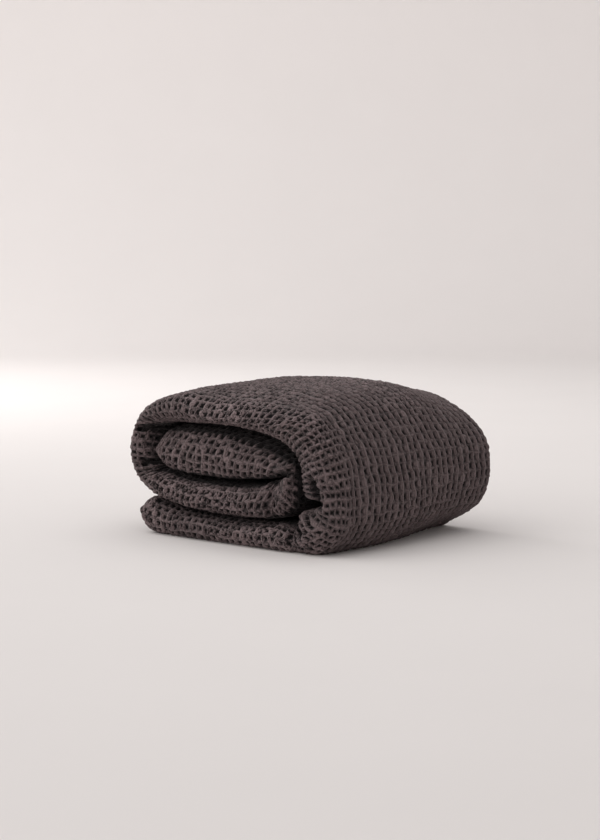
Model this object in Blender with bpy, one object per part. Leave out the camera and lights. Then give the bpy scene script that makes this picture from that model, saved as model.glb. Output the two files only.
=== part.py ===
"""A waffle weave cotton blanket, folded lengthwise into a thick strip and rolled flat.

The blanket is one cloth, about 1.1 m by 2.1 m. It is folded in half three times lengthwise, which
makes a strip of eight plies with one fold along its near edge, and on its far edge a fold of four
plies, a fold of two plies and the two hems. The strip is then rolled up flat into four layers.

Frame: +Z up, the blanket rests on Z = 0, X runs across the roll and Y along the strip's width. The
near edge, where the roll's layers show, is at -Y. The origin is under the middle of the roll.
"""

import math

import bmesh
import bpy

MM = 0.001

# Driving dimensions, in metres.
STRIP_WIDTH = 0.262  # near edge to far edge
CROWN_FOOT = 0.095  # height at which the roll's crown begins
NEAR_ROUND = 0.021  # depth over which the near fold rounds off
FAR_ROUND = 0.016  # depth over which the far folds round off where the plies lie close
SLOT_DEPTH = 0.024  # how far the plies stand apart at the far edge
END_ROUND = 0.020  # length over which each end of the strip rounds off
ROLL_MIDDLE_X = 0.0005  # middle of the roll, in the table's X

# The roll from the end at its heart to the end at its foot. Each row is a line through the strip,
# from its outer face to its inner face, in millimetres. "inset" is how far its near edge is drawn
# in, "lean" is how much further that edge's outer side is drawn in (its inner side when below 0),
# and "far_outer" and "far_inner" are how far the two faces move across on their way to the far edge.
COLUMNS = ("outer_x", "outer_z", "inner_x", "inner_z", "inset", "lean", "far_outer", "far_inner")
SECTIONS = (
    # heart, running right
    (-111, 108, -111, 69, 7, 0, 0, 0),
    (-86, 115, -82, 66, 6, 2, 0, 0),
    (-41, 117.5, -35, 64, 5, 4, 0, 0),
    (0, 116.5, 0, 65.5, 4, 9, 0, 0),
    (42, 111.5, 38, 70, 4, 16, 0, 0),
    (62, 106.5, 56, 72, 4, 17, 0, 0),
    # tight turn down
    (75, 100, 66, 73.5, 4, 14, 0, 0),
    (84, 94, 70, 74.5, 4, 9, 0, 0),
    (89.5, 86, 72, 75, 4, 4, 0, 0),
    (93, 76, 73, 75, 4, 1, 0, 0),
    (94, 64, 73, 74.5, 3, 0, 0, 0),
    (92, 54, 72.5, 74, 2, 0, 0, 0),
    (87.5, 45, 71, 73.5, 2, 0, 0, 0),
    (79.5, 39, 68, 72.5, 2, 0, 0, 0),
    (68, 33.5, 63, 71, 3, 0, 0, 0),
    (59, 31, 58, 69.5, 10, 0, 0, 0),
    # second layer, running left
    (50, 29.5, 51, 67.5, 4, 0, 0, 0),
    (35, 28.5, 35, 62, 2, 0, 0, 0),
    (1, 27.5, 4, 60, 2, 0, 0, 0),
    (-28, 27.5, -26, 60.5, 2, 0, 0, 0),
    (-60, 29, -54, 61, 2, 0, 0, 0),
    (-86, 33, -77, 63.5, 2, 0, 0, 0),
    (-103, 37.5, -92, 67, 2, 0, 0, 0),
    # left turn, with a crease where each layer leaves it
    (-118, 42, -100, 69, 3, 0, 2, 0),
    (-132, 51, -106, 71, 3, -4, 3, 0),
    (-142, 62, -109.5, 74, 2, -12, 4, 0),
    (-148, 76, -112, 82, 2, -8, 4, 0),
    (-150, 91, -113, 95, 2, -9, 4, 0),
    (-147, 105, -110, 108, 2, -15, 4, 0),
    (-139, 120, -102, 115, 1, -6, 3, 0),
    (-124, 135, -94, 118, 0, -2, 2, 0),
    # top layer, running right
    (-101, 146, -81, 120.5, 0, 0, 0, 0),
    (-73, 152, -62, 121.5, 0, 0, 0, 0),
    (-38, 153.5, -34, 122, 0, 0, 0, 0),
    (0, 154, -5, 121.5, 0, 0, 0, 0),
    (35, 153.5, 22, 119.5, 0, 0, 0, 0),
    (65, 151.5, 45, 116, 0, 0, -6, 0),
    (90, 146, 62, 112, 0, 0, -12, 0),
    (109, 137.5, 76, 106.5, 1, 0, -15, 0),
    (123, 126, 85, 99.5, 2, 0, -12, 0),
    (134, 112, 91.5, 90.5, 3, 0, -7, 0),
    # right turn, pinched on its inside, with a lip below the pinch
    (142, 96, 95.5, 80, 4, 0, -2, 0),
    (147, 78, 97, 70, 4, -2, 1, 0),
    (150, 60, 99, 62, 4, -5, 1, 0),
    (151, 45, 104, 56.5, 3, -9, -5, 0),
    (149, 32, 118, 49.5, 3, -6, -12, -8),
    (143, 20, 106, 45.5, 2, -2, -18, 6),
    (134, 10, 91, 40, 1, 0, -21, 13),
    (121, 3, 85.5, 33, 1, 0, -19, 11.5),
    (106, 0, 87.5, 28, 2, 0, -14, 3.5),
    (94, 0, 88.5, 23.5, 6, -4, -8, -2.5),
    # bottom layer, running left
    (82, 0, 80, 25, 2, 0, -4, -2),
    (45, 0, 45, 25.5, 0, 0, 0, 0),
    (0, 0, 0, 25, 0, 0, 0, 0),
    (-49, 0, -49, 25.5, 1, 0, 0, 0),
    (-80, 0, -80, 28, 1, 0, 0, 0),
    (-104, 0, -102, 35.5, 1, 0, 0, 0),
    (-132, 1, -129, 43, 2, 0, 0, 0),
)

# How the roll changes from its near side to its far side: "along" is 0 at the near edge and 1 at the
# far edge, "crown" lifts the top, "breadth" scales the section across and "shift" slides it across.
# Lifts and slides are in millimetres.
ALONG_COLUMNS = ("along", "crown", "breadth", "shift")
ALONG = (
    (0.0, 0.0, 1.000, 0),
    (0.3, 6.5, 1.005, 0),
    (0.65, 9.0, 1.005, 0),
    (1.0, -6.0, 1.000, 0),
)

# The groups of plies that show at the far edge, by share of the strip's thickness from its inner
# face, with how far each one stands back from the far edge, in millimetres.
PLY_COLUMNS = ("low", "high", "back")
PLIES = (
    (0.52, 1.0, 0),
    (0.27, 0.48, 5),
    (0.145, 0.235, 11),
    (0.0, 0.11, 8),
)

RING_COUNT = 116  # sections from end to end, without the two end points
TURN_SHARE = 0.45  # how far the sections crowd into the turns, where the table's rows are closer
NEAR_STEPS = 8  # faces round the near fold
FACE_STEPS = 5  # faces across each broad side
TONGUE_STEPS = 3  # faces round each group of plies

CLOTH_COLOUR = (0.085, 0.074, 0.072, 1.0)
CLOTH_ROUGHNESS = 0.95


def spline(rows, share):
    """The row at that share of the table's length, on a smooth curve through all the rows."""
    place = min(max(share, 0.0), 1.0) * (len(rows) - 1)
    first = min(int(place), len(rows) - 2)
    t = place - first
    a, b, c, d = (rows[min(max(first + k, 0), len(rows) - 1)] for k in (-1, 0, 1, 2))
    return [
        0.5 * (2 * q + (r - p) * t + (2 * p - 5 * q + 4 * r - s) * t**2 + (3 * q - p - 3 * r + s) * t**3)
        for p, q, r, s in zip(a, b, c, d)
    ]


def along(share):
    """Crown, breadth and shift of the roll at that share of its width, from the near edge."""
    for low, high in zip(ALONG, ALONG[1:]):
        if share <= high[0] or high is ALONG[-1]:
            t = min(max((share - low[0]) / (high[0] - low[0]), 0.0), 1.0)
            t = t * t * (3 - 2 * t)
            return [p + (q - p) * t for p, q in zip(low[1:], high[1:])]


def smooth_step(value):
    """0 below 0, 1 above 1, and a soft rise between."""
    value = min(max(value, 0.0), 1.0)
    return value * value * (3 - 2 * value)


def outline():
    """The strip's section as (kind, depth, share): depth along Y from the near edge, share of the
    thickness from the inner face, and what the point belongs to."""
    points = []
    for k in range(NEAR_STEPS + 1):
        angle = math.pi * (k / NEAR_STEPS - 0.5)
        points.append(("near", NEAR_ROUND * (1 - math.cos(angle)), 0.5 + 0.5 * math.sin(angle)))
    reach = STRIP_WIDTH - NEAR_ROUND - SLOT_DEPTH
    for k in range(1, FACE_STEPS + 1):
        points.append(("face", NEAR_ROUND + reach * k / FACE_STEPS, 1.0))
    for number, (low, high, back) in enumerate(PLIES):
        middle, half = (low + high) / 2, (high - low) / 2
        tip = STRIP_WIDTH - back * MM
        depth = min(FAR_ROUND * 2 * half, SLOT_DEPTH / 2)
        for k in range(TONGUE_STEPS + 1):
            angle = math.pi * (0.5 - k / TONGUE_STEPS)
            points.append(("ply", tip - depth * (1 - math.cos(angle)), middle + half * math.sin(angle)))
        if number < len(PLIES) - 1:
            points.append(("slot", STRIP_WIDTH - SLOT_DEPTH, (low + PLIES[number + 1][1]) / 2))
    for k in range(FACE_STEPS, 0, -1):
        points.append(("face", NEAR_ROUND + reach * k / FACE_STEPS, 0.0))
    return points


def close_far_edge(depth, share, opening):
    """The depth of a point at the far edge, between closed up (0) and standing apart (1)."""
    closed = STRIP_WIDTH - FAR_ROUND * (1 - math.sqrt(max(0.0, 1 - (2 * share - 1) ** 2)))
    return closed + (depth - closed) * opening


def strip_lengths():
    """The lengths of the strip's middle line up to each of 400 even steps of the table, in metres."""
    steps = 400
    middles = []
    for k in range(steps + 1):
        row = spline(SECTIONS, k / steps)
        middles.append(((row[0] + row[2]) / 2 * MM, (row[1] + row[3]) / 2 * MM))
    lengths = [0.0]
    for p, q in zip(middles, middles[1:]):
        lengths.append(lengths[-1] + math.dist(p, q))
    return lengths


def share_at(lengths, distance):
    """The share of the table at that distance along the strip's middle line."""
    for k in range(1, len(lengths)):
        if distance <= lengths[k]:
            t = (distance - lengths[k - 1]) / max(lengths[k] - lengths[k - 1], 1e-9)
            return (k - 1 + t) / (len(lengths) - 1)
    return 1.0


def ring_distances(lengths):
    """Distances of the rings from the strip's first end: close together in the turns and where the
    ends round off."""
    total = lengths[-1]
    last = len(lengths) - 1
    cap = 4
    rings = [END_ROUND * (1 - math.cos(0.5 * math.pi * k / (cap + 1))) for k in range(1, cap + 1)]
    between = RING_COUNT - 2 * cap
    places = [(1 - TURN_SHARE) * length / total + TURN_SHARE * k / last for k, length in enumerate(lengths)]
    first = 0
    for k in range(between):
        place = k / (between - 1)
        while first < last - 1 and places[first + 1] < place:
            first += 1
        t = (place - places[first]) / (places[first + 1] - places[first])
        distance = lengths[first] + (lengths[first + 1] - lengths[first]) * t
        rings.append(END_ROUND + (total - 2 * END_ROUND) * distance / total)
    rings += [total - distance for distance in reversed(rings[:cap])]
    return rings


def strip_point(distance, total, lengths, kind, depth, share):
    """The place in the roll of one point of the strip's section."""
    row = spline(SECTIONS, share_at(lengths, distance))
    outer_x, outer_z, inner_x, inner_z, inset, lean, far_outer, far_inner = row
    to_end = min(distance, total - distance)
    closing = min(to_end / END_ROUND, 1.0)
    fullness = math.sqrt(max(0.0, 1 - (1 - closing) ** 2))
    if kind in ("ply", "slot"):
        depth = close_far_edge(depth, share, smooth_step((to_end - END_ROUND) / (2 * SLOT_DEPTH)))
    corner = 0.5 * END_ROUND * (1 - fullness)
    drawn_in = inset + max(lean, 0) * share**2 + max(-lean, 0) * (1 - share) ** 2
    y = depth + (drawn_in * MM + corner) * (1 - depth / STRIP_WIDTH) - corner * depth / STRIP_WIDTH
    crown, breadth, shift = along(y / STRIP_WIDTH)
    far = smooth_step((y / STRIP_WIDTH - 0.3) / 0.7)
    outer_x += far_outer * far
    inner_x += far_inner * far
    share = 0.5 + (share - 0.5) * fullness
    x = (inner_x + (outer_x - inner_x) * share) * MM - ROLL_MIDDLE_X
    z = (inner_z + (outer_z - inner_z) * share) * MM
    z += crown * MM * smooth_step((z - CROWN_FOOT) / 0.055)
    return x * breadth + shift * MM, y - STRIP_WIDTH / 2, max(z, 0.0)


def cloth_material():
    """Charcoal cotton, matt."""
    material = bpy.data.materials.new("charcoal_waffle_cotton")
    material.use_nodes = True
    shader = material.node_tree.nodes["Principled BSDF"]
    shader.inputs["Base Color"].default_value = CLOTH_COLOUR
    shader.inputs["Roughness"].default_value = CLOTH_ROUGHNESS
    shader.inputs["Metallic"].default_value = 0.0
    return material


def rolled_blanket(collection):
    """The blanket as one solid: a UV sphere whose rings become the strip's sections, end to end."""
    section = outline()
    lengths = strip_lengths()
    total = lengths[-1]
    distances = [0.0, *ring_distances(lengths), total]
    rings = len(distances) - 1
    shape = bmesh.new()
    bmesh.ops.create_uvsphere(shape, u_segments=len(section), v_segments=rings, radius=1.0)
    for vertex in shape.verts:
        ring = round(math.acos(max(-1.0, min(1.0, vertex.co.z))) / math.pi * rings)
        place = round(math.atan2(vertex.co.x, vertex.co.y) / (2 * math.pi) * len(section)) % len(section)
        if ring in (0, rings):
            kind, depth, share = "face", STRIP_WIDTH / 2, 0.5
        else:
            kind, depth, share = section[place]
        vertex.co = strip_point(distances[ring], total, lengths, kind, depth, share)
    bmesh.ops.recalc_face_normals(shape, faces=shape.faces)
    mesh = bpy.data.meshes.new("blanket")
    shape.to_mesh(mesh)
    shape.free()
    mesh.shade_smooth()
    mesh.materials.append(cloth_material())
    blanket = bpy.data.objects.new("blanket", mesh)
    collection.objects.link(blanket)
    return blanket


def main():
    for obj in list(bpy.data.objects):
        bpy.data.objects.remove(obj)
    collection = bpy.data.collections.new("waffle_blanket")
    bpy.context.scene.collection.children.link(collection)
    rolled_blanket(collection)


main()
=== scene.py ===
"""A waffle weave cotton blanket, folded lengthwise into a thick strip and rolled flat: its looks.

The strip's path through the roll is the part's own, with soft trims that bring it closer to the
photograph. A fine grid of points follows it, the waffle's pits and ridges are raised in that grid,
and it is cut into panels.

Frame: +Z up, the blanket rests on Z = 0, X runs across the roll and Y along the strip's width. The
near edge, where the roll's layers show, is at -Y. Metres, unless a name or comment says otherwise.
"""

import logging
import math
from dataclasses import dataclass, field
from enum import Enum
from typing import Any, Callable

import bpy
import numpy as np
from bpy.types import Material, Mesh, NodeSocket, Object
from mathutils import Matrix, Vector


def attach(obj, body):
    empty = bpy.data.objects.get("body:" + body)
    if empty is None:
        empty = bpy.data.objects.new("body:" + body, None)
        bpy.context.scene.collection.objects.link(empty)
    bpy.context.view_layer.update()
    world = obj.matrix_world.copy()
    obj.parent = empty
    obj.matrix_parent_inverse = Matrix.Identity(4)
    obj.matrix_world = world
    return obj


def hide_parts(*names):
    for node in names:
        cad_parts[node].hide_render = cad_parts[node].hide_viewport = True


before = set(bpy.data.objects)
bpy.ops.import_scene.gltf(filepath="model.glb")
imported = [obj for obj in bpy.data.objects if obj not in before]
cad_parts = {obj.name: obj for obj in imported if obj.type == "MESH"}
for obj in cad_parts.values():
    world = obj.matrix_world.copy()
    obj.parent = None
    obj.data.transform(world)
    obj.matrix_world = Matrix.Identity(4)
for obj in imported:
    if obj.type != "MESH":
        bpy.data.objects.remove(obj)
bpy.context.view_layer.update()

MM = 0.001
NODE = "blanket"
PHOTO_WIDTH, PHOTO_HEIGHT = 600, 840  # pixels of the photograph's frame
SAMPLES, QUICK_SAMPLES = 12.0, 6.0  # points across one waffle cell

Array = np.ndarray
Colour = Place = tuple[float, float, float]

log = logging.getLogger("waffle_blanket")


# --- Shader graphs ---


def _operator(operation: str, swapped: bool = False) -> Callable[..., "Shade"]:
    """Makes a method of Shade that adds one Math node.

    Args:
        operation: the node's operation.
        swapped: whether the Shade comes after what it is joined with.

    Returns:
        The method.
    """

    def method(self: "Shade", *others: Any) -> "Shade":
        """Adds the node."""
        values = (*others, self) if swapped else (self, *others)
        return self.graph.node("ShaderNodeMath", dict(enumerate(values)), operation=operation)

    return method


@dataclass
class Shade:
    """A socket of a shader graph, with the sums of ordinary numbers."""

    graph: "Graph"  # the graph that the socket's node is in
    socket: NodeSocket  # an output socket

    __add__ = _operator("ADD")
    __radd__ = _operator("ADD", swapped=True)
    __sub__ = _operator("SUBTRACT")
    __rsub__ = _operator("SUBTRACT", swapped=True)
    __mul__ = _operator("MULTIPLY")
    __rmul__ = _operator("MULTIPLY", swapped=True)
    __truediv__ = _operator("DIVIDE")
    __rtruediv__ = _operator("DIVIDE", swapped=True)
    __pow__ = _operator("POWER")
    __abs__ = _operator("ABSOLUTE")
    fraction = _operator("FRACT")
    floor = _operator("FLOOR")
    sine = _operator("SINE")

    def clamped(self) -> "Shade":
        """self kept from 0 to 1."""
        values = {0: self, 1: 0.0}
        return self.graph.node("ShaderNodeMath", values, operation="ADD", use_clamp=True)


@dataclass
class Graph:
    """The shader graph of one material, built from expressions."""

    name: str  # the material's name

    def __post_init__(self) -> None:
        """Makes the material, with an empty node tree."""
        self.material = bpy.data.materials.new(self.name)
        self.material.use_nodes = True
        self.tree = self.material.node_tree
        self.tree.nodes.clear()

    def node(self, kind: str, values: dict[Any, Any], output: Any = 0, **settings: Any) -> Shade:
        """Adds one node, sets it up and links it.

        Args:
            kind: the node's type.
            values: numbers, colours or Shades by socket name or number.
            output: name or number of the output that is returned.
            settings: the node's own settings, set before its sockets.

        Returns:
            The chosen output, wrapped.
        """
        made = self.tree.nodes.new(kind)
        for name, value in settings.items():
            setattr(made, name, value)
        for name, value in values.items():
            if isinstance(value, Shade):
                self.tree.links.new(value.socket, made.inputs[name])
            else:
                made.inputs[name].default_value = value
        sockets = made.outputs or made.inputs  # the material's own output has inputs only
        return Shade(self, sockets[output])

    def surface(self, values: dict[str, Any]) -> Material:
        """Ends the graph with its shader.

        Args:
            values: numbers, colours or Shades by the shader's socket names.

        Returns:
            The finished material.
        """
        shader = self.node("ShaderNodeBsdfPrincipled", values)
        self.node("ShaderNodeOutputMaterial", {"Surface": shader})
        return self.material

    def blend(self, share: Any, low: Any, high: Any) -> Shade:
        """A colour between two colours.

        Args:
            share: 0 gives low and 1 gives high.
            low: a colour of three numbers, or a Shade.
            high: a colour of three numbers, or a Shade.

        Returns:
            The mixed colour.
        """
        low, high = ((*c, 1.0) if isinstance(c, tuple) else c for c in (low, high))
        values = {"Factor": share, 6: low, 7: high}
        return self.node("ShaderNodeMix", values, output=2, data_type="RGBA")

    def object_place(self) -> Shade:
        """The place in the object's own coordinates."""
        return self.node("ShaderNodeTexCoord", {}, output="Object")

    def attribute(self, name: str) -> Shade:
        """A number that the mesh carries."""
        return self.node("ShaderNodeAttribute", {}, output="Fac", attribute_name=name)

    def noise(self, vector: Shade, scale: float, detail: float, roughness: float) -> Shade:
        """Soft noise from 0 to 1 at a place."""
        values = {"Scale": scale, "Detail": detail, "Roughness": roughness, "Vector": vector}
        return self.node("ShaderNodeTexNoise", values)

    def vector(self, x: Any, y: Any, z: Any) -> Shade:
        """A vector of three numbers or Shades."""
        return self.node("ShaderNodeCombineXYZ", {0: x, 1: y, 2: z})


class Map(Enum):
    """Names of what the cloth's meshes carry for its material."""

    CELLS = "waffle_cells"
    # the relief's height, darkened by painted shade in pits, creases and gaps
    PAINTED_LIGHTNESS = "waffle_height"
    WEAR_AND_PAINTED_LIGHT = "waffle_wear"


@dataclass(frozen=True)
class CottonFinish:
    """Charcoal waffle cotton: matt, a little fuzzy, with painted shade down in the pits."""

    yarn: Colour = (0.146, 0.1084, 0.1098)  # colour of the yarn floats in the light
    # pit is painted shade: the colour that the cloth is painted down in a pit
    pit: Colour = (0.0065, 0.0050, 0.0054)  # colour down in a pit
    lint: Colour = (0.300, 0.226, 0.229)  # colour of the fuzz on the ridges
    strands: float = 1.5  # yarns seen on either side of a ridge's middle
    width: float = 0.80  # from a ridge's middle to its foot, in half cells
    taper: float = 0.40  # how much narrower a ridge is at its crossings
    edge: float = 3.0  # how hard the line is where one ridge's yarns end at another's
    thread_depth: float = 0.9 * MM  # how far the grooves between yarns go in
    roughness: float = 0.92  # of the yarns between their fibres
    sheen: float = 0.12  # weight of the fuzz's sheen

    def material(self, name: str) -> Material:
        """Makes the material.

        Args:
            name: the material's name.

        Returns:
            The finished material.
        """
        graph = Graph(name)
        uv = graph.node("ShaderNodeUVMap", {}, uv_map=Map.CELLS.value)
        along, around = (graph.node("ShaderNodeSeparateXYZ", {0: uv}, output=k) for k in (0, 1))
        # height here is the painted lightness: relief height with painted shade in pits, creases
        # and gaps
        height, wear_and_painted_light = (graph.attribute(kind.value) for kind in (Map.PAINTED_LIGHTNESS, Map.WEAR_AND_PAINTED_LIGHT))

        # Each ridge is a spindle of yarns between two of its crossings, and a wall of the pit
        # belongs to the spindle whose middle is nearer.
        to_round = 1.0 - abs(along.fraction() - 0.5) * 2.0
        to_long = 1.0 - abs(around.fraction() - 0.5) * 2.0
        off_long = self._off_middle(to_long, to_round)
        off_round = self._off_middle(to_round, to_long)
        side = ((off_round - off_long) * self.edge + 0.5).clamped()
        long_ridge = self._yarns(graph, off_long, along, around)
        round_ridge = self._yarns(graph, off_round, around, along)
        other = 1.0 - side
        yarns, tone, fibres = (a * side + b * other for a, b in zip(long_ridge, round_ridge))

        # The depth is 0 low in a pit and 1 on a ridge; it comes from the painted lightness, so the
        # blend from the pit colour paints shade into pits, creases and gaps. The grain stirs the
        # yarn's brightness, and lint lies on top of it.
        place = graph.vector(along, around, 0.0)
        fuzz = graph.noise(graph.object_place(), 450.0, 3.0, 0.65)
        blotches = graph.noise(place, 0.16, 3.0, 0.55)
        patches = graph.noise(place, 0.9, 2.0, 0.5)
        depth = (height * 2.1 - 0.86).clamped()
        # Painted shade: the light is lower in the grooves between yarns and along the line where
        # two ridges meet.
        crest = (abs(off_round - off_long) * self.edge).clamped()
        grain = (fibres - 0.5) * 2.2 + (fuzz - 0.5) * 2.4 + (tone - 0.5) * 0.4
        grain = (grain + (patches - 0.5) * 0.2) * (0.15 + 0.85 * depth)
        light = depth * (0.30 + 0.45 * yarns + 0.20 * crest) + grain * (0.8 + 1.1 * wear_and_painted_light)
        lint = wear_and_painted_light * 0.3 + (blotches - 0.45) * 0.7 + (tone - 0.6) * 0.5
        lint = (lint + (fuzz - 0.5) * (2.0 + 2.2 * wear_and_painted_light)).clamped() * depth
        colour = graph.blend(light.clamped(), self.pit, self.yarn)
        colour = graph.blend(lint * 0.7, colour, self.lint)
        relief = yarns * 0.7 + fibres * 0.6 + fuzz * 0.8
        bump = {"Strength": 1.0, "Distance": self.thread_depth, "Height": relief}
        return graph.surface({
            "Base Color": colour,
            "Roughness": self.roughness - 0.06 * fibres,
            "Normal": graph.node("ShaderNodeBump", bump),
            "Specular IOR Level": 0.25,
            "Sheen Weight": self.sheen,
            "Sheen Roughness": 0.55,
            "Sheen Tint": (0.88, 0.80, 0.80, 1.0),
        })

    def _off_middle(self, from_middle: Shade, from_crossing: Shade) -> Shade:
        """How far off a ridge's middle a place is: 0 on it and 1 at its foot.

        Args:
            from_middle: distance from the ridge's middle line, in half cells.
            from_crossing: distance from its nearest crossing, in half cells.

        Returns:
            The share of the ridge's half width at that place.
        """
        near = 1.0 - from_crossing
        return from_middle / (self.width * (1.0 - self.taper * near * near))

    def _yarns(
        self, graph: Graph, off: Shade, lengthwise: Shade, across: Shade
    ) -> tuple[Shade, Shade, Shade]:
        """The yarns of the ridges that run one way.

        Args:
            graph: the material's graph.
            off: how far off the ridge's middle, as a share of its half width.
            lengthwise: place along the ridge, in cells.
            across: place across it, in cells.

        Returns:
            Their rounded profile, a tone for each float, and the streaks of their fibres.
        """
        row = off * self.strands
        profile = abs((row * math.pi + math.pi / 2).sine()) ** 0.7
        number = (across + 0.5).floor() * 8.0 + (row + across * 2.0).floor()
        one_float = graph.vector(number, lengthwise.floor(), 0.0)
        tone = graph.node("ShaderNodeTexWhiteNoise", {0: one_float})
        streaks = graph.vector(across * 5.5, lengthwise * 2.4, tone * 5.0)
        return profile, tone, graph.noise(streaks, 1.0, 3.0, 0.6)


@dataclass(frozen=True)
class PaperFinish:
    """The studio's pale warm paper, matt, with hardly any grain."""

    colour: Colour = (0.80, 0.764, 0.754)  # of its lightest spots
    grain: float = 0.012  # half of how much darker its darkest spots are

    def material(self, name: str) -> Material:
        """Makes the material.

        Args:
            name: the material's name.

        Returns:
            The finished material.
        """
        graph = Graph(name)
        grain = graph.noise(graph.object_place(), 6.0, 4.0, 0.5)
        darker = tuple(c * (1.0 - self.grain * 2) for c in self.colour)
        return graph.surface({
            "Base Color": graph.blend(grain, darker, self.colour),
            "Roughness": 0.9,
            "Specular IOR Level": 0.15,
        })


# --- The strip's path through the roll ---

# The part's own table, with the soft trims put in. Each row is a line through the strip, in
# millimetres: outer X and Z, inner X and Z, its near edge's inset, its lean (above 0 the inset
# grows towards the outer face, below 0 towards the inner one), and how far the outer and the inner
# X have slid at the far side. What a row leaves out at its end is 0.
SECTIONS = (
    # heart, running right
    (-111, 108, -111, 69, 7),
    (-86, 115, -82, 66, 6, 2),
    (-41, 117.5, -35, 64, 5, 4),
    (0, 116, 0, 65.5, 4, 9),
    (42, 109.5, 38, 70, 4, 16),
    (62, 104, 56, 72, 4, 17),
    # tight turn down
    (75, 98, 66, 73.5, 4, 14, 4),
    (81.5, 92.5, 70, 74.5, 4, 9, 7),
    (85, 86, 72, 75, 4, 4, 8),
    (87, 76, 73, 75, 4, 1, 7),
    (87.5, 65, 73, 74.5, 3, 0, 6),
    (87.5, 55, 72.5, 74, 2, 0, 4),
    (86, 46, 71, 73.5, 2, 0, 2),
    (78, 39.5, 68, 72.5, 2),
    (68, 33.5, 63, 71, 3),
    (59, 31, 58, 69.5, 10),
    # second layer, running left
    (50, 29.5, 51, 67.5, 4),
    (35, 28.5, 35, 62, 2),
    (1, 27.5, 4, 60, 2),
    (-28, 27.5, -26, 60.5, 2),
    (-60, 29, -54, 61, 2),
    (-86, 33, -77, 63.5, 2),
    (-103, 37.5, -92, 67, 2),
    # left turn, with a crease where each layer leaves it
    (-118, 42, -100, 69, 3, 0, 2),
    (-132, 51, -106, 71, 3, -4, 3),
    (-142, 62, -109.5, 74, 2, -12, 4),
    (-148, 76, -112, 82, 2, -8, 4),
    (-150, 91, -113, 95, 2, -9, 4),
    (-147, 105, -110, 108, 2, -15, 4),
    (-139, 120, -102, 115, 1, -6, 3),
    (-124, 135, -94, 118, 0, -2, 2),
    # top layer, running right
    (-101, 144.5, -81, 120.5),
    (-73, 150, -62, 121.5),
    (-38, 152.5, -34, 122),
    (0, 154, -5, 121.5),
    (35, 153.5, 22, 119.5),
    (65, 151.5, 45, 116, 0, 0, -3),
    (90, 146, 62, 112, 0, 0, -5),
    (109, 137.5, 76, 106.5, 1, 0, -6),
    (123, 126, 85, 99.5, 2, 0, -3),
    (134, 112, 91.5, 90.5, 3, 0, 1),
    # right turn, pinched on its inside, with a lip below the pinch
    (142, 96, 93.5, 80, 4, 0, 3),
    (147, 78, 92.5, 70, 4, -2, 1, 3),
    (150, 60, 92.5, 62, 4, -4, -2, 4),
    (151, 45, 96, 56, 3, -6, -7, 4),
    (149, 32, 115, 49.5, 3, -6, -12, -8),
    (143, 20, 106, 45.5, 2, -2, -20, 6),
    (134, 10, 91, 40, 1, 0, -31, 13),
    (121, 3, 85.5, 33, 1, 0, -33, 11.5),
    (106, 0, 87.5, 28, 2, 0, -25, 3.5),
    (94, 0, 88.5, 23.5, 6, -4, -17, -2.5),
    # bottom layer, running left
    (82, 0, 80, 25, 2, 0, -12, -2),
    (45, 0, 45, 25.5, 0, 0, -4),
    (0, 0, 0, 25),
    (-49, 0, -49, 25.5, 1),
    (-80, 0, -80, 28, 1),
    (-104, 0, -102, 35.5, 1),
    (-132, 1, -129, 43, 2),
)

# How the roll changes from its near side to its far side: share of its width, how far the crown
# rises in millimetres, its breadth, and how far it slides in X in millimetres.
ALONG = (
    (0.0, 0.0, 1.000, 0),
    (0.3, 6.5, 1.005, 0),
    (0.65, 9.0, 1.005, 0),
    (1.0, -6.0, 1.000, 0),
)

# The groups of plies at the far edge: lowest and highest share of the strip's thickness, from its
# inner face, and how far each one stands back from the far edge in millimetres.
PLIES = (
    (0.52, 1.0, 0),
    (0.27, 0.48, 5),
    (0.145, 0.235, 11),
    (0.0, 0.11, 8),
)

# How the waffle lies on the strip: share of the cloth's run, how close its cells lie along the
# strip, how far its columns slant on the near fold (cells along for each cell round), how far its
# rows drift and how much more cloth is gathered on the near fold, on its outer side (both in
# millimetres), and how much more fuzz stands on it, which also paints stretches lighter or darker
# where light falls on them more or less.
LAY = (
    (0.00, 0.86, -0.55, -15, 0, 0.1),
    (0.05, 0.88, -0.45, -4, 0, 0.1),
    (0.09, 0.92, -0.30, 0, 0, 0.1),
    (0.14, 0.95, -0.45, 0, 0, -0.1),
    (0.19, 1.00, -0.30, 0, 0, -0.45),
    (0.25, 1.10, -0.28, 0, 0, 0.3),
    (0.36, 1.12, -0.28, 0, 0, 0.5),
    (0.42, 1.05, -0.20, 0, 0, -0.2),
    (0.50, 1.00, -0.15, 0, 0, -0.3),
    (0.57, 1.00, 0.08, 0, 0, 0),
    (0.62, 1.00, 0.10, 0, 7, 0.1),
    (0.67, 1.00, 0.10, 0, 18, -0.1),
    (0.74, 1.00, 0.10, 0, 23, -0.3),
    (0.79, 1.00, 0.08, 0, 16, -0.3),
    (0.84, 1.00, 0.00, 0, 0, 0),
    (0.92, 1.02, 0.02, 0, 0, 0),
    (1.00, 1.04, 0.15, 0, 0, 0),
)


def smooth_step(value: Array) -> Array:
    """0 below 0, 1 above 1, and a soft rise between."""
    value = np.clip(value, 0.0, 1.0)
    return value * value * (3 - 2 * value)


@dataclass(frozen=True)
class Ramp:
    """A soft rise from 0 to 1."""

    start: float  # where it begins
    length: float  # the way over which it reaches 1; below 0 where it rises towards lower values

    def at(self, value: Array) -> Array:
        """How far it has risen at some values."""
        return smooth_step((value - self.start) / self.length)


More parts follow.
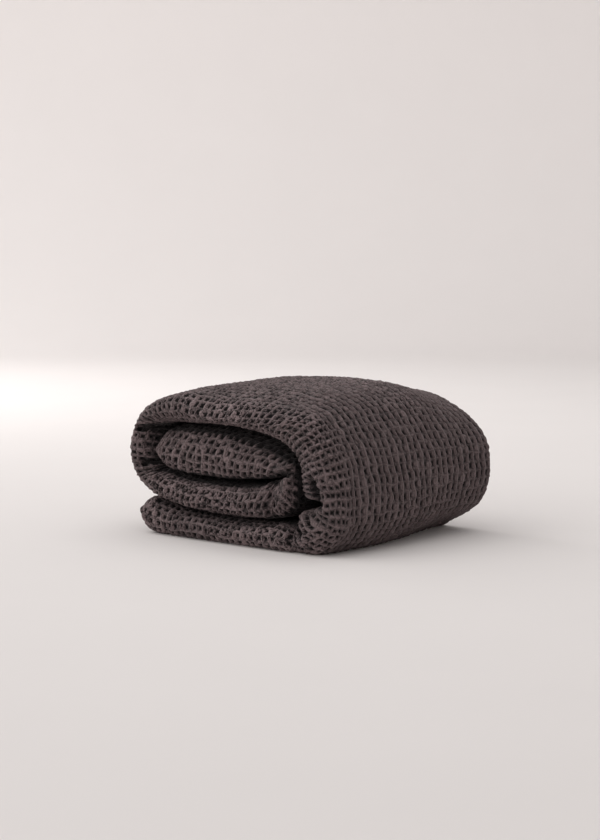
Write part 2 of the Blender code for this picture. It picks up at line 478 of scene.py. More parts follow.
def spline(rows: Array, share: Array) -> Array:
    """Rows at shares of a table's length, on a smooth curve through all of its rows.

    Args:
        rows: the table, one row a line.
        share: places from 0, its first row, to 1, its last.

    Returns:
        One row for each share.
    """
    place = np.clip(share, 0.0, 1.0) * (len(rows) - 1)
    first = np.minimum(place.astype(int), len(rows) - 2)
    t = (place - first)[:, None]
    a, b, c, d = (rows[np.clip(first + k, 0, len(rows) - 1)] for k in (-1, 0, 1, 2))
    square, cube = 2 * a - 5 * b + 4 * c - d, 3 * b - a - 3 * c + d
    return 0.5 * (2 * b + (c - a) * t + square * t**2 + cube * t**3)


def round_part(to_end: Array) -> Array:
    """Half width of a round end, from 0 at its tip (0) to 1 where it is full (1)."""
    return np.sqrt(np.clip(1 - (1 - to_end) ** 2, 0, 1))


@dataclass
class StripPath:
    """The folded strip's path through the roll, and its section."""

    width: float = 0.262  # near edge to far edge
    thickness: float = 0.034  # a usual one, for spacing points
    near_round: float = 0.021  # depth over which the near fold rounds off
    far_round: float = 0.016  # depth over which the far folds round off where the plies lie close
    slot_depth: float = 0.024  # how far the plies stand apart at the far edge
    end_round: float = 0.020  # length over which each end of the strip rounds off
    probes: int = 401  # places at which its middle line is measured
    middle_x: float = 0.0005  # middle of the roll, in the table's X
    crown: Ramp = Ramp(0.095, 0.055)  # height over which the roll's crown comes in
    to_far: Ramp = Ramp(0.3, 0.7)  # share of the width over which the table's slides come in
    shoulder: float = 0.011  # how far the top slopes down to its near edge
    shoulder_reach: float = 0.105  # depth at which that slope begins
    # where that slope is: X from the left, X from the right and height, in millimetres
    shoulder_area: tuple[Ramp, Ramp, Ramp] = (Ramp(-75, 60), Ramp(115, -50), Ramp(119, 28))

    def __post_init__(self) -> None:
        """Measures the strip's middle line."""
        self.rows = np.array([(*row, *[0] * (8 - len(row))) for row in SECTIONS], float)
        self.along = np.array(ALONG)
        self.steps = np.linspace(0, 1, self.probes)
        row = spline(self.rows, self.steps)
        middle = (row[:, 0:2] + row[:, 2:4]) / 2 * MM
        steps = np.linalg.norm(np.diff(middle, axis=0), axis=1)
        self.lengths = np.concatenate([[0.0], np.cumsum(steps)])
        self.total = float(self.lengths[-1])

    def _change_along(self, share: Array) -> list[Array]:
        """How the roll has changed since its near side.

        Args:
            share: places across its width, from the near edge.

        Returns:
            Its crown, breadth and shift there.
        """
        table = self.along
        low = np.clip(np.searchsorted(table[:, 0], share, side="right") - 1, 0, len(table) - 2)
        t = smooth_step((share - table[low, 0]) / (table[low + 1, 0] - table[low, 0]))
        return [table[low, k] + (table[low + 1, k] - table[low, k]) * t for k in (1, 2, 3)]

    def place(self, distance: Array, depth: Array, share: Array, far: Array) -> Array:
        """Places of the strip's points in the roll.

        Args:
            distance: along the strip's middle line, one for each section.
            depth: from the near edge, one for each point of a section.
            share: of the strip's thickness, from its inner face, likewise.
            far: whether the point belongs to the far edge's plies, likewise.

        Returns:
            An array of sections by points by 3.
        """
        row = spline(self.rows, np.interp(distance, self.lengths, self.steps))
        columns = (row[:, k, None] for k in range(row.shape[1]))
        outer_x, outer_z, inner_x, inner_z, inset, lean, far_outer, far_inner = columns
        to_end = np.minimum(distance, self.total - distance)[:, None]
        fullness = round_part(np.minimum(to_end / self.end_round, 1.0))
        depth, share = depth[None, :], share[None, :]

        # The plies stand apart at the far edge, and close up at the strip's two ends.
        closed = self.width - self.far_round * (1 - round_part(2 * share))
        opening = smooth_step((to_end - self.end_round) / (2 * self.slot_depth))
        depth = np.where(far[None, :], closed + (depth - closed) * opening, depth + 0 * opening)
        corner = 0.5 * self.end_round * (1 - fullness)
        leant = np.maximum(lean, 0) * share**2 + np.maximum(-lean, 0) * (1 - share) ** 2
        near = (inset + leant) * MM + corner
        y = depth + near * (1 - depth / self.width) - corner * depth / self.width

        crown, breadth, shift = self._change_along(y / self.width)
        to_far = self.to_far.at(y / self.width)
        outer_x = outer_x + far_outer * to_far
        inner_x = inner_x + far_inner * to_far
        share = 0.5 + (share - 0.5) * fullness
        x = (inner_x + (outer_x - inner_x) * share) * MM - self.middle_x
        z = (inner_z + (outer_z - inner_z) * share) * MM
        z = z + crown * MM * self.crown.at(z)
        from_left, from_right, over = self.shoulder_area
        fall = from_left.at(x / MM) * from_right.at(x / MM) * over.at(z / MM)
        z = z - self.shoulder * fall * np.clip(1 - y / self.shoulder_reach, 0.0, 1.0) ** 2
        x, y, z = x * breadth + shift * MM, y - self.width / 2, np.maximum(z, 0.0)
        return np.stack([x, y, z], axis=-1)


class Region(Enum):
    """The parts of the strip's section, in the order in which its outline goes round."""

    NEAR_OUTER = "near fold, from its crest to the outer face"
    OUTER = "outer face"
    FAR = "far edge with its groups of plies"
    INNER = "inner face"
    NEAR_INNER = "near fold, from the inner face to its crest"


@dataclass
class SectionOutline:
    """Points round the strip's section, from the near fold's crest round and back to it."""

    path: StripPath  # the strip
    fine: float  # spacing of points where the cloth is seen from close by
    medium: float  # spacing at the far edge
    coarse: float  # spacing on the inner face, which other layers hide

    def __post_init__(self) -> None:
        """Lays out the points."""
        path = self.path
        turn = math.pi / 2 * (path.near_round + path.thickness / 2) / 2
        count = max(4, round(turn / self.fine))
        near = [
            (path.near_round * (1 - math.cos(a)), 0.5 + 0.5 * math.sin(a))
            for a in np.linspace(0, math.pi / 2, count, endpoint=False)
        ]
        reach = path.width - path.slot_depth
        parts = {
            Region.NEAR_OUTER: near,
            Region.OUTER: [(d, 1.0) for d in self._steps(path.near_round, reach, self.fine)],
            Region.FAR: self._far_points(reach),
            Region.INNER: [(d, 0.0) for d in self._steps(reach, path.near_round, self.coarse)],
            Region.NEAR_INNER: [(path.near_round, 0.0)] + [(d, 1.0 - s) for d, s in near[:0:-1]],
        }
        self.starts: dict[Region, int] = {}
        points: list[tuple[float, float, bool]] = []
        for region, rows in parts.items():
            self.starts[region] = len(points)
            points += [(depth, share, region is Region.FAR) for depth, share in rows]
        self.depth, self.share, self.far = (np.array(column) for column in zip(*points))

    @staticmethod
    def _steps(low: float, high: float, step: float) -> Array:
        """Even depths from low up to, but not with, high."""
        return np.linspace(low, high, max(2, round(abs(high - low) / step)), endpoint=False)

    def _far_points(self, bottom: float) -> list[tuple[float, float]]:
        """Points round the groups of plies and down into the slots between them.

        Args:
            bottom: depth of the slots' bottoms.

        Returns:
            Depth and share of the strip's thickness of each point.
        """
        path, points = self.path, []
        thickness, last = path.thickness, len(PLIES) - 1
        for number, (low, high, back) in enumerate(PLIES):
            middle, half = (low + high) / 2, (high - low) / 2
            tip = path.width - back * MM
            radius = min(path.far_round * 2 * half, path.slot_depth / 2)
            wide = half * thickness
            count = max(4, round(math.pi * (radius + wide) / 2 / self.medium))
            start = high if number == 0 else (high + PLIES[number - 1][0]) / 2
            end = low if number == last else (low + PLIES[number + 1][1]) / 2
            corners = [(bottom, start)]
            for a in np.linspace(math.pi / 2, -math.pi / 2, count + 1):
                corners.append((tip - radius * (1 - math.cos(a)), middle + half * math.sin(a)))
            corners.append((bottom, end))
            for p, q in zip(corners, corners[1:]):
                way = math.hypot(q[0] - p[0], (q[1] - p[1]) * thickness)
                pieces = max(1, round(way / self.medium))
                for k in range(pieces):
                    t = k / pieces
                    points.append((p[0] + (q[0] - p[0]) * t, p[1] + (q[1] - p[1]) * t))
        return points


# --- The waffle weave ---


class SoftNoise(Enum):
    """Smooth noises over the cloth: the distance between their free values, and their seeds."""

    ROWS_ALONG = (3.6, 5)
    CELLS_ALONG = (1.0, 6)
    ROWS_ROUND = (3.6, 7)
    CELLS_ROUND = (1.0, 8)
    LUMPS = (0.5, 9)
    CRUMBS = (0.27, 10)
    WEAR_AND_PAINTED_LIGHT = (6.0, 11)
    RIDGE_WIDTH = (1.0, 12)
    PIT_DEPTH = (1.0, 13)
    SWELL = (4.3, 21)
    CRUMPLE = (3.4, 31)

    def at(self, x: Array, y: Array) -> Array:
        """The noise at places on the cloth, the same on each run.

        Args:
            x: the first coordinate.
            y: the second one.

        Returns:
            Values from -1 to 1.
        """
        # A table of free values, which repeats beyond its edge, and the places in it.
        size, seed = self.value
        values = np.random.default_rng(seed).uniform(-1, 1, (512, 128))
        x, y = x / size + 64, y / size + 32
        i, j = np.floor(x).astype(int), np.floor(y).astype(int)
        s, t = smooth_step(x - i), smooth_step(y - j)
        i, j = i % 511, j % 127
        low = values[i, j] * (1 - s) + values[i + 1, j] * s
        high = values[i, j + 1] * (1 - s) + values[i + 1, j + 1] * s
        return low * (1 - t) + high * t


@dataclass(frozen=True)
class Ridge:
    """The ridges that run one way, each a spindle of yarns between two of its crossings."""

    height: float  # of its middle over the pits
    dip: float  # how much lower it is at its crossings
    width: float  # from its middle to its foot, in half cells
    roundness: float = 0.65  # 1 for a parabola, and less for a broader top
    crossing: float = 0.5  # how far from a crossing it begins to dip, in half cells

    def rise(self, from_middle: Array, from_crossing: Array, taper: float) -> Array:
        """The ridge's height at places of the cloth.

        Args:
            from_middle: distance from its middle line, in half cells.
            from_crossing: distance from its nearest crossing, in half cells.
            taper: how much narrower it is at its crossings.

        Returns:
            Heights, 0 beside the ridge.
        """
        off = from_middle / (self.width * (1 - taper * (1 - from_crossing) ** 2))
        dome = np.clip(1 - off**2, 0.0, 1.0) ** self.roundness
        dip = self.dip * smooth_step(1 - from_crossing / self.crossing)
        return self.height * (1 - dip) * dome


@dataclass
class WaffleWeave:
    """The waffle's relief: pits between ridges of long yarn floats."""

    cell: float = 9.4 * MM  # from ridge to ridge
    depth: float = 4.5 * MM  # from the ridges down to the middle of a pit
    proud: float = 0.8 * MM  # how far the ridges stand over the strip's own surface
    taper: float = 0.40  # how much narrower a ridge is at its crossings
    flattened: float = 0.70  # share of the pits' depth that is left where it is pulled flat
    # the ridges along the strip and round it: where the cloth is pulled flat, where it is slack,
    # and where it is squeezed along the strip
    flat: tuple[Ridge, Ridge] = (Ridge(1.0, 0.08, 0.76), Ridge(0.56, 0.12, 0.66))
    slack: tuple[Ridge, Ridge] = (Ridge(0.86, 0.26, 0.70), Ridge(1.0, 0.18, 0.76))
    ribs: tuple[Ridge, Ridge] = (Ridge(0.55, 0.20, 0.70), Ridge(1.0, 0.0, 0.86))
    wander: float = 0.13  # how far whole rows stray, in cells
    jitter: float = 0.22  # how far one cell strays from its neighbours, in cells

    def settle(self, along: Array, around: Array) -> tuple[Array, Array]:
        """Shifts places on the cloth, so that the cells lie as unevenly as woven ones do.

        Args:
            along: place along the strip, in cells.
            around: place round the strip, in cells.

        Returns:
            The two places after the shift.
        """
        middles, shifts = (along - 0.5, around - 0.5), []
        for rows, cells in (
            (SoftNoise.ROWS_ALONG, SoftNoise.CELLS_ALONG),
            (SoftNoise.ROWS_ROUND, SoftNoise.CELLS_ROUND),
        ):
            shifts.append(rows.at(along, around) * self.wander + cells.at(*middles) * self.jitter)
        return along + shifts[0], around + shifts[1]

    def height(self, along: Array, around: Array, pulled: Array, squeezed: Array) -> Array:
        """The relief from 0, the middle of a pit, to 1, the top of a crossing.

        Args:
            along: settled place along the strip, in cells.
            around: settled place round the strip, in cells.
            pulled: 1 where the cloth is pulled flat and its pits are square, and 0 where it is
                slack and they are diamonds.
            squeezed: 1 where the cloth is squeezed along the strip into ribs.

        Returns:
            Heights of the same shape.
        """
        to_round = 1 - np.abs(along % 1.0 - 0.5) * 2
        to_long = 1 - np.abs(around % 1.0 - 0.5) * 2
        middles = along - 0.5, around - 0.5
        size = 1 + 0.14 * SoftNoise.RIDGE_WIDTH.at(*middles)
        kinds = []
        for long_ridge, round_ridge in (self.flat, self.slack, self.ribs):
            long_rise = long_ridge.rise(to_long * size, to_round, self.taper)
            round_rise = round_ridge.rise(to_round * size, to_long, self.taper)
            kinds.append((long_rise**5 + round_rise**5) ** 0.2)
        flat, slack, ribs = kinds
        flat = 1 - (1 - flat) * self.flattened
        raised = slack + (flat - slack) * pulled
        raised = raised + (ribs - raised) * squeezed
        sunk = 1 - 0.18 * SoftNoise.PIT_DEPTH.at(*middles)
        lumps = 0.09 * SoftNoise.LUMPS.at(along, around)
        lumps = lumps + 0.12 * SoftNoise.CRUMBS.at(along, around)
        return np.clip(1 - (1 - raised) * sunk + lumps, -0.2, 1.25)


@dataclass(frozen=True)
class Crease:
    """A soft trough in the near side: a line along which the cloth is drawn back."""

    start: float  # where on the strip it begins, as a share of the cloth's run
    end: float  # where on the strip it ends, likewise
    line: tuple[tuple[float, float], ...]  # its points, as X and Z in millimetres
    reach: float  # distance from the line at which it is gone, in millimetres
    depth: float  # how far the cloth is drawn back on the line, in millimetres
    sharp: float = 1.0  # 1 for a soft hollow, and more for a crease with a narrow bottom
    fade: float = 0.01  # how much of the cloth's run it takes to come and go

    def strength(self, share: Array) -> Array:
        """How much of the crease there is at shares of the cloth's run."""
        return Ramp(self.start, self.fade).at(share) * Ramp(self.end, -self.fade).at(share)

    def drawn_back(self, x: Array, z: Array) -> Array:
        """How far the cloth is drawn back at places of the near side.

        Args:
            x: the places' X in millimetres.
            z: their Z in millimetres.

        Returns:
            Depths in millimetres.
        """
        least = np.full(x.shape, np.inf)
        for (x0, z0), (x1, z1) in zip(self.line, self.line[1:]):
            dx, dz = x1 - x0, z1 - z0
            t = np.clip(((x - x0) * dx + (z - z0) * dz) / (dx * dx + dz * dz), 0, 1)
            least = np.minimum(least, np.hypot(x - x0 - t * dx, z - z0 - t * dz))
        return self.depth * smooth_step(1 - least / self.reach) ** self.sharp


# The gaps between the layers, as the near side shows them.
UPPER_GAP = ((-98, 117), (-41, 119), (0, 118.5), (40, 114.5), (62, 109), (77, 102), (87, 92))
SIDE_GAP = ((87, 92), (90.5, 82), (90.5, 70), (91, 60))
MIDDLE_GAP = ((-108, 69), (-60, 63), (0, 62.5), (38, 65.5), (60, 73))
LOWER_GAP = ((-104, 36), (-60, 28), (0, 26), (50, 27), (72, 31))

# The near side's main creases and hollows.
NEAR_CREASES = (
    # the layers' edges fall away into the gaps between them
    Crease(0.00, 0.18, UPPER_GAP, 8, 13),
    Crease(0.49, 0.66, UPPER_GAP, 4, 5),
    Crease(0.15, 0.25, SIDE_GAP, 6, 10),
    Crease(0.65, 0.73, SIDE_GAP, 4, 7),
    Crease(0.00, 0.16, MIDDLE_GAP, 6, 8),
    Crease(0.24, 0.40, MIDDLE_GAP, 7, 14),
    Crease(0.23, 0.39, LOWER_GAP, 6, 7),
    Crease(0.83, 0.99, LOWER_GAP, 8, 10),
    # left turn: a crease where each layer leaves it, and a hollow between the two
    Crease(0.40, 0.54, ((-133, 111.5), (-112, 113.5), (-86, 118)), 5, 10),
    Crease(0.33, 0.45, ((-126, 75), (-112, 76.5), (-96, 74)), 6, 12),
    Crease(0.37, 0.50, ((-109, 82), (-109, 107)), 19, 13),
    # heart: its upper edge falls away towards the tight turn
    Crease(0.05, 0.19, ((30, 117), (60, 111), (77, 102)), 13, 9),
    # tight turn: a crease down from its pinch
    Crease(0.14, 0.25, ((62, 75.5), (74, 77.5), (82, 79)), 6, 8, 1.2),
    Crease(0.19, 0.30, ((78, 78), (70, 73), (65, 66), (64, 54), (64.5, 47)), 5.5, 10, 1.2),
    # right turn: a hollow over the lip, with a hard edge on its right
    Crease(0.69, 0.79, ((96, 53.5), (112, 52), (127, 51)), 5, 15),
    Crease(0.67, 0.78, ((115, 73), (119, 66), (121, 57)), 10, 11),
    Crease(0.67, 0.78, ((108, 66), (112, 55)), 13, 4),
    # lip: a crease between it and the bottom layer
    Crease(0.77, 0.86, ((82, 35), (90, 33), (99, 21)), 9, 12, 1.3),
    Crease(0.76, 0.82, ((100, 42), (113, 34)), 6, 6, 1.4),
)


@dataclass
class ClothField:
    """The whole cloth surface as one fine grid: sections along the strip by points round them."""

    path: StripPath  # the strip
    outline: SectionOutline  # points round its section
    weave: WaffleWeave  # the relief that is raised in it
    step: float  # spacing of the sections along the strip
    probes: int = 2401  # places along the strip at which its length is measured
    crease_fade: float = 0.052  # depth from the near edge at which its creases are gone
    gather_reach: float = 0.046  # way round the near fold over which its gathered cloth lies
    slant_reach: float = 0.03  # way round the near fold over which the columns slant
    swell: float = 0.7 * MM  # how far the cloth's soft undulations go up and down
    press: float = 9 * MM  # height below which its own weight flattens the cloth on the floor
    # gap_shade is painted shade: how much darker the cloth is painted back in gaps and creases
    gap_shade: float = 0.75  # how much darker the cloth looks back in the gaps between layers

    def __post_init__(self) -> None:
        """Works out the grid, its normals, its relief and its looks."""
        self._lay_sections()
        self._press_creases()
        self._measure_cloth()
        self._find_normals()
        self._lay_weave()
        self._raise_relief()
        self._find_looks()

    def _lay_sections(self) -> None:
        """Spaces the sections evenly on the cloth, and places all points on the strip."""
        path, outline = self.path, self.outline
        tight = np.linspace(0, path.total, self.probes)
        # The way is measured on the outer face, and at the strip's ends more on its middle line.
        depth, share = np.array([0.5, 0.5]) * path.width, np.array([1.0, 0.5])
        probes = path.place(tight, depth, share, np.array([False, False]))
        steps = np.linalg.norm(np.diff(probes, axis=0), axis=2)
        to_end = np.minimum(tight, path.total - tight)[1:]
        outer = 0.3 + 0.7 * smooth_step(to_end / path.end_round)
        run = np.concatenate([[0.0], np.cumsum(outer * steps[:, 0] + (1 - outer) * steps[:, 1])])
        length = float(run[-1])
        self.run = np.linspace(0, length, round(length / self.step) + 1)
        self.share = self.run / length
        distance = np.interp(self.run, run, tight)
        self.base = path.place(distance, outline.depth, outline.share, outline.far)
        height = self.base[:, :, 2] / self.press
        self.base[:, :, 2] = self.press * np.where(height < 1, height**2 * (2 - height), height)

    def _press_creases(self) -> None:
        """Draws the near side back along its creases."""
        near = self.outline.depth < self.crease_fade
        fade = 1 - smooth_step(self.outline.depth[near] / self.crease_fade)
        self.pressed = np.zeros(self.base.shape[:2])
        for crease in NEAR_CREASES:
            strength = crease.strength(self.share)
            rows = np.flatnonzero(strength)
            grid = np.ix_(rows, np.flatnonzero(near))
            part = self.base[grid] / MM
            back = crease.drawn_back(part[:, :, 0], part[:, :, 2])
            pressed = back * fade[None, :] * strength[rows][:, None]
            self.base[(*grid, 1)] += pressed * MM
            self.pressed[grid] += pressed

    def _measure_cloth(self) -> None:
        """Measures the way round each section, so that rows run straight behind the creases."""
        loop = np.concatenate([self.base, self.base[:, :1]], axis=1)
        ways = np.linalg.norm(np.diff(loop, axis=1), axis=2)
        way = np.concatenate([np.zeros((len(self.run), 1)), np.cumsum(ways, axis=1)], axis=1)
        girth, way = way[:, -1:], way[:, :-1]
        after_crest = np.arange(way.shape[1])[None, :] < self.outline.starts[Region.INNER]
        behind = int(np.argmax(self.outline.depth >= self.crease_fade))
        straight = way[:, behind, None]
        self.around = np.where(after_crest, way, way - girth) - straight + straight.mean()

    def _find_normals(self) -> None:
        """Works out the normals, and how far the cloth is stretched along the strip."""
        across = np.roll(self.base, -1, axis=1) - np.roll(self.base, 1, axis=1)
        along = np.gradient(self.base, axis=0)
        self.stretch = np.linalg.norm(along, axis=2) / self.step
        normal = np.cross(along, across)
        size = np.linalg.norm(normal, axis=2, keepdims=True)
        self.normal = normal / np.maximum(size, 1e-12)

    def _lay_weave(self) -> None:
        """Finds each point's place in the weave."""
        cell, share = self.weave.cell, self.share[:, None]
        shares, *lay = np.array(LAY, float).T
        columns = (np.interp(share, shares, column) for column in lay)
        closeness, slant, drift, gathered, self.fuzz = columns
        gather = gathered * (1 - smooth_step(self.around / self.gather_reach))
        slanted = slant * np.clip(self.around, -self.slant_reach, self.slant_reach)
        self.along_cells = (np.cumsum(closeness, axis=0) * self.step + slanted) / cell
        self.round_cells = (self.around + (drift - gather) * MM) / cell
        self.cells = self.weave.settle(self.along_cells, self.round_cells)

    def _raise_relief(self) -> None:
        """Raises the waffle in the grid."""
        share, weave = self.share[:, None], self.weave
        # Behind the near fold the cloth is pulled flat, most of all past the top. The tight turn
        # and places with too much cloth are crumpled, and others are squeezed into ribs.
        whole = 0.25 + 0.75 * Ramp(0.57, 0.08).at(share)
        self.pulled = Ramp(18, 25).at(self.around / MM) * whole
        turning = Ramp(0.13, 0.02).at(share) * Ramp(0.28, -0.02).at(share)
        squeezed = Ramp(0.86, -0.4).at(self.stretch) * (1 - turning)
        woven = weave.height(*self.cells, self.pulled, squeezed)
        x, z = self.base[:, :, 0] / MM, self.base[:, :, 2] / MM
        crumpled = 0.72 + 0.42 * SoftNoise.CRUMPLE.at(x, z)
        crumple = smooth_step((0.62 + 0.33 * turning - self.stretch) / 0.3)
        self.height = woven + (crumpled - woven) * crumple
        # Squeezed cloth has less room for its waffle.
        room = np.clip(self.stretch, 0.3, 1.0) ** 0.4
        lift = (weave.proud - weave.depth * (1 - self.height)) * room
        lift = lift + self.swell * SoftNoise.SWELL.at(self.along_cells, self.round_cells)
        self.points = self.base + self.normal * lift[:, :, None]
        self.points[:, :, 2] = np.maximum(self.points[:, :, 2], 0.0)

    def _find_looks(self) -> None:
        """Finds each place's wear with its painted light, and its painted lightness with painted
        shade.
        """
        # On the slack top the pits get more painted shade, and more lint as painted light.
        painted_top_light_and_shade = 0.35 * Ramp(120, 20).at(self.base[:, :, 2] / MM) * (1 - self.pulled)
        # Wear with painted light: lint from noise, less where pulled flat, and the fuzz column's
        # painted light and shade.
        self.wear_and_painted_light = 0.5 + 0.5 * SoftNoise.WEAR_AND_PAINTED_LIGHT.at(*self.cells) - 0.8 * self.pulled + self.fuzz
        self.wear_and_painted_light += 1.6 * painted_top_light_and_shade
        # Painted shade: darker back in the gaps between the layers and down in the near side's
        # creases.
        shade = np.maximum(self._find_shaded_gaps(), 0.85 * smooth_step(self.pressed / 12))
        self.painted_lightness = (1 - (1 - self.height) * (1 + painted_top_light_and_shade)) * (1 - self.gap_shade * shade)

    def _find_shaded_gaps(self) -> Array:
        """Finds the cloth that lies back in the gaps between the layers, where shade is painted.

        Returns:
            1 there, and 0 where the cloth is in the open.
        """
        from_near = self.base[:, :, 1] + self.path.width / 2
        from_far = Ramp(0.030, 0.020).at(self.path.width - from_near)
        inner_layer = Ramp(12, 10).at(from_near / MM) * Ramp(0.41, -0.02).at(self.share[:, None])
        inner_side = Ramp(24, 10).at(from_near / MM) * Ramp(0.5, -0.3).at(self.outline.share)
        # The wedge between the layers at the far left is open to the light, and gets no painted
        # shade.
        sheltered = Ramp(-110, 25).at(self.base[:, :, 0] / MM)
        return sheltered * from_far * np.maximum(inner_layer, inner_side)


@dataclass
class Panel:
    """One piece of the cloth, cut from the field between two sections and two points round it."""

    name: str  # the piece's name
    start: float  # first section, as a share of the strip's length
    end: float  # last section, likewise
    first: int  # number of the first point round the section; below 0 counts back from the crest
    last: int  # number of the last point round the section
    every: int = 1  # takes every so many sections
    skip: int = 1  # takes every so many points round the section

    def build(self, cloth: ClothField, finish: Material) -> Object:
        """Makes the panel's mesh and dresses it.

        Args:
            cloth: the field that it is cut from.
            finish: its material.

        Returns:
            The finished piece.
        """
        low, high = (round(share * (len(cloth.run) - 1)) for share in (self.start, self.end))
        sections = self._pick(low, high, self.every)
        round_it = self._pick(self.first, self.last, self.skip)
        grid = np.ix_(sections, round_it % cloth.points.shape[1])
        rows, columns = len(sections), len(round_it)
        bpy.ops.mesh.primitive_grid_add(x_subdivisions=columns - 1, y_subdivisions=rows - 1, size=2)
        piece = bpy.context.active_object
        piece.name = piece.data.name = self.name
        mesh = piece.data
        points = cloth.points[grid].astype(np.float32)
        mesh.vertices.foreach_set("co", points.ravel())
        self._dress(mesh, cloth, grid)
        mesh.materials.clear()
        mesh.materials.append(finish)
        mesh.flip_normals()
        mesh.shade_smooth()
        mesh.update()
        self._declare(piece)
        log.info("%s: %d by %d points", self.name, rows, columns)
        return piece

    @staticmethod
    def _pick(low: int, high: int, every: int) -> Array:
        """Numbers from low to high, both of them taken, and every so many between."""
        numbers = np.arange(low, high + 1, every)
        return numbers if numbers[-1] == high else np.append(numbers, high)

    def _dress(self, mesh: Mesh, cloth: ClothField, grid: tuple) -> None:
        """Gives the mesh its UV map in cells, its painted lightness and its wear with painted
        light.

        Args:
            mesh: the panel's mesh.
            cloth: the field that it is cut from.
            grid: the panel's sections and points in the field.
        """
        cells = np.stack([place[grid].ravel() for place in cloth.cells], axis=1)
        corners = np.empty(len(mesh.loops), np.int32)
        mesh.loops.foreach_get("vertex_index", corners)
        for layer in list(mesh.uv_layers):
            mesh.uv_layers.remove(layer)
        layer = mesh.uv_layers.new(name=Map.CELLS.value)
        layer.data.foreach_set("uv", cells[corners].astype(np.float32).ravel())
        for kind, values in ((Map.PAINTED_LIGHTNESS, cloth.painted_lightness), (Map.WEAR_AND_PAINTED_LIGHT, cloth.wear_and_painted_light)):
            attribute = mesh.attributes.new(kind.value, "FLOAT", "POINT")
            attribute.data.foreach_set("value", values[grid].astype(np.float32).ravel())

    def _declare(self, piece: Object) -> None:
        """Hangs the piece on the root body, and hides the part that it stands for.

        Args:
            piece: the panel's object.
        """
        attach(piece, "root")
        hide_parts(NODE)


@dataclass
class RolledBlanket:
    """The blanket: its cloth field and the panels that it is cut into."""

    samples: float = SAMPLES  # points across one cell where the cloth is seen from close by
    weave: WaffleWeave = field(default_factory=WaffleWeave)  # the waffle's relief
    finish: CottonFinish = CottonFinish()  # the cotton
    coarse: float = 4.0  # spacing of points on hidden cloth, in that of seen cloth
    medium: float = 1.6  # spacing at the far edge, likewise
    fold_reach: float = 10 * MM  # how far past the near fold's round part a fold's panel goes
    # where the second layer, the left turn, the top, the right turn and the foot begin, as shares
    # of the cloth's run
    cuts: tuple[float, float, float, float, float] = (0.215, 0.40, 0.535, 0.66, 0.806)

    def build(self) -> list[Object]:
        """Makes all panels.

        Returns:
            The pieces, which together stand for the blanket's solid.
        """
        fine, path = self.weave.cell / self.samples, StripPath()
        coarse = self.coarse * fine
        outline = SectionOutline(path, fine=fine, medium=self.medium * fine, coarse=coarse)
        cloth = ClothField(path, outline, self.weave, fine)
        count, starts = len(outline.depth), outline.starts
        edge = starts[Region.OUTER] + round(self.fold_reach / fine)
        far, inner = starts[Region.FAR], starts[Region.INNER]
        fold = starts[Region.NEAR_INNER] - round(self.fold_reach / coarse) - count
        second, left, top, right, foot = self.cuts
        panels = [
            Panel("blanket_heart_fold", 0.0, second, fold, edge),
            Panel("blanket_second_fold", second, left, fold, edge),
            Panel("blanket_left_turn", left, top, fold, far),
            Panel("blanket_top", top, right, fold, far),
            Panel("blanket_right_turn", right, foot, fold, far),
            Panel("blanket_foot_fold", foot, 1.0, fold, edge),
            Panel("blanket_inner_faces", 0.0, left, edge, far, every=4, skip=4),
            Panel("blanket_underside", foot, 1.0, edge, far, every=2, skip=2),
            Panel("blanket_far_edge_heart", 0.0, left, far, inner, every=2),
            Panel("blanket_far_edge_wrap", left, 1.0, far, inner, every=2),
            Panel("blanket_lining_faces", 0.0, 1.0, inner, fold + count, every=4),
        ]
        material = self.finish.material("charcoal_waffle_cotton")
        return [panel.build(cloth, material) for panel in panels]


# --- Stage, light and camera ---


@dataclass
class StudioStage:
    """A pale paper floor that curves up into a low wall all round."""

    radius: float = 2.8  # of the flat floor
    curve: float = 1.0  # radius of the curve from floor to wall
    wall: float = 0.5  # height of the wall over the curve
    finish: PaperFinish = PaperFinish()  # the paper

    def build(self) -> None:
        """Makes the stage."""
        bpy.ops.mesh.primitive_circle_add(
            vertices=128, radius=self.radius, fill_type="TRIFAN", location=(0, 0, 0)
        )
        stage = bpy.context.active_object
        stage.name = stage.data.name = "paper_floor"
        bpy.ops.object.mode_set(mode="EDIT")
        bpy.ops.mesh.select_mode(type="EDGE")
        bpy.ops.mesh.select_all(action="DESELECT")
        bpy.ops.mesh.select_non_manifold(extend=False)
        reach, height, steps = self.radius, 0.0, 12
        for k in range(1, steps + 2):
            angle = math.pi / 2 * min(k, steps) / steps
            new_reach = self.radius + self.curve * math.sin(angle)
            wall = self.wall if k > steps else 0.0
            new_height = self.curve * (1 - math.cos(angle)) + wall
            scale, up = new_reach / reach, (0, 0, new_height - height)
            bpy.ops.mesh.extrude_region_move(TRANSFORM_OT_translate={"value": up})
            bpy.ops.transform.resize(value=(scale, scale, 1.0), center_override=(0, 0, 0))
            reach, height = new_reach, new_height
        bpy.ops.mesh.select_all(action="SELECT")
        bpy.ops.mesh.normals_make_consistent(inside=True)
        bpy.ops.object.mode_set(mode="OBJECT")
        bpy.ops.object.shade_smooth()
        stage.data.materials.append(self.finish.material("pale_paper"))


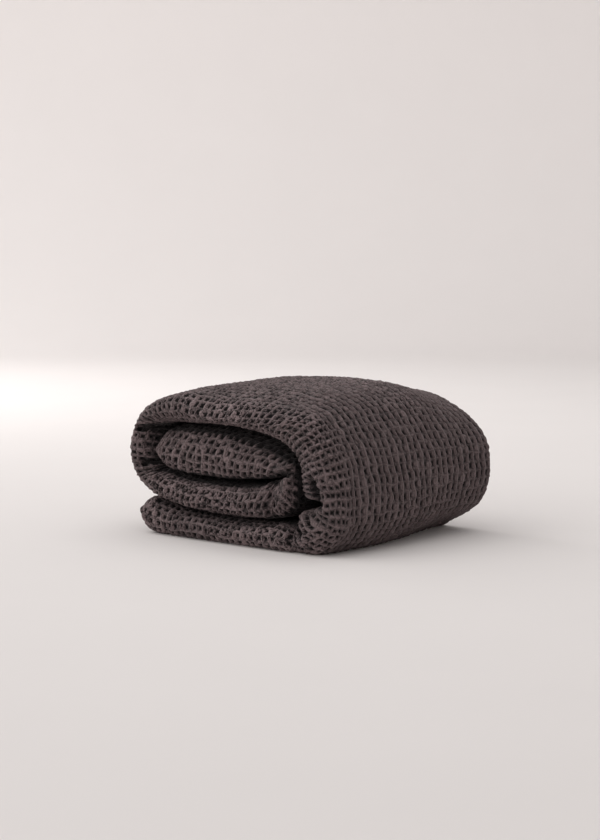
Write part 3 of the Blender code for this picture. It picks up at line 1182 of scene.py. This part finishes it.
@dataclass(frozen=True)
class Softbox:
    """One wide area light."""

    name: str
    azimuth: float  # where it stands, in degrees; 0 is at -Y and 90 at +X
    distance: float  # from the origin, over the floor
    height: float  # over the floor
    aim: Place  # the point that it faces
    size: tuple[float, float]  # its width and height
    power: float  # in watts
    colour: Colour = (1.0, 0.985, 0.97)  # of its light

    def build(self) -> None:
        """Makes the light."""
        a = math.radians(self.azimuth)
        place = Vector((math.sin(a) * self.distance, -math.cos(a) * self.distance, self.height))
        bpy.ops.object.light_add(type="AREA", location=place)
        lamp = bpy.context.active_object
        lamp.name = self.name
        lamp.rotation_mode = "QUATERNION"
        lamp.rotation_quaternion = (Vector(self.aim) - place).to_track_quat("-Z", "Y")
        lamp.data.shape = "RECTANGLE"
        lamp.data.size, lamp.data.size_y = self.size
        lamp.data.energy = self.power
        lamp.data.color = self.colour


@dataclass
class StudioLight:
    """A wide soft key at the left, weaker softboxes in front, above and behind, and a fill."""

    boxes: tuple[Softbox, ...] = (
        Softbox("key", -60.0, 1.9, 2.0, (0.0, 0.0, 0.05), (2.4, 2.0), 21.0),
        Softbox("front", -12.0, 2.7, 1.0, (0.0, 0.0, 0.10), (2.2, 1.3), 12.5),
        Softbox("overhead", 150.0, 0.4, 2.6, (0.1, -0.1, 0.0), (3.0, 3.0), 18.0),
        Softbox("backdrop", -100.0, 2.2, 1.1, (-0.9, 3.3, 0.35), (1.4, 1.0), 20.0),
    )
    fill: float = 0.54  # brightness of the fill

    def build(self) -> None:
        """Makes the softboxes and the fill."""
        for box in self.boxes:
            box.build()
        world = bpy.data.worlds.new("studio")
        world.use_nodes = True
        ground = world.node_tree.nodes["Background"]
        ground.inputs["Color"].default_value = (1.0, 0.985, 0.975, 1.0)
        ground.inputs["Strength"].default_value = self.fill
        bpy.context.scene.world = world


@dataclass
class PhotoCamera:
    """The photograph's camera."""

    azimuth: float = 41.77  # where it stands, in degrees; 0 is at -Y and 90 at +X
    elevation: float = 6.62  # how high it stands, in degrees
    distance: float = 2.20  # from the target
    target: Place = (0.0, 0.0, 0.08)  # the point that it is aimed at before the shift
    focal: float = 2058.2  # focal length in pixels
    target_pixel: tuple[float, float] = (308.35, 456.49)  # its place in the photograph's frame

    def build(self) -> None:
        """Makes the camera and sets it as the scene's."""
        a, e = math.radians(self.azimuth), math.radians(self.elevation)
        back = Vector((math.sin(a) * math.cos(e), -math.cos(a) * math.cos(e), math.sin(e)))
        data = bpy.data.cameras.new("photo_camera")
        camera = bpy.data.objects.new("photo_camera", data)
        bpy.context.scene.collection.objects.link(camera)
        camera.location = Vector(self.target) + back * self.distance
        camera.rotation_mode = "QUATERNION"
        camera.rotation_quaternion = (-back).to_track_quat("-Z", "Y")
        data.sensor_width = 36.0
        data.lens = self.focal * data.sensor_width / PHOTO_HEIGHT
        data.shift_x = (PHOTO_WIDTH / 2 - self.target_pixel[0]) / PHOTO_HEIGHT
        data.shift_y = (self.target_pixel[1] - PHOTO_HEIGHT / 2) / PHOTO_HEIGHT
        data.clip_start, data.clip_end = 0.05, 50.0
        bpy.context.scene.camera = camera


def main() -> None:
    """Builds the scene in order."""
    logging.basicConfig(level=logging.INFO, format="%(message)s")
    PhotoCamera().build()
    StudioStage().build()
    StudioLight().build()
    pieces = RolledBlanket(samples=SAMPLES).build()
    log.info("%d pieces, %d faces", len(pieces), sum(len(p.data.polygons) for p in pieces))
    bpy.context.scene.view_settings.view_transform = "Standard"


if __name__ == "__main__":
    main()
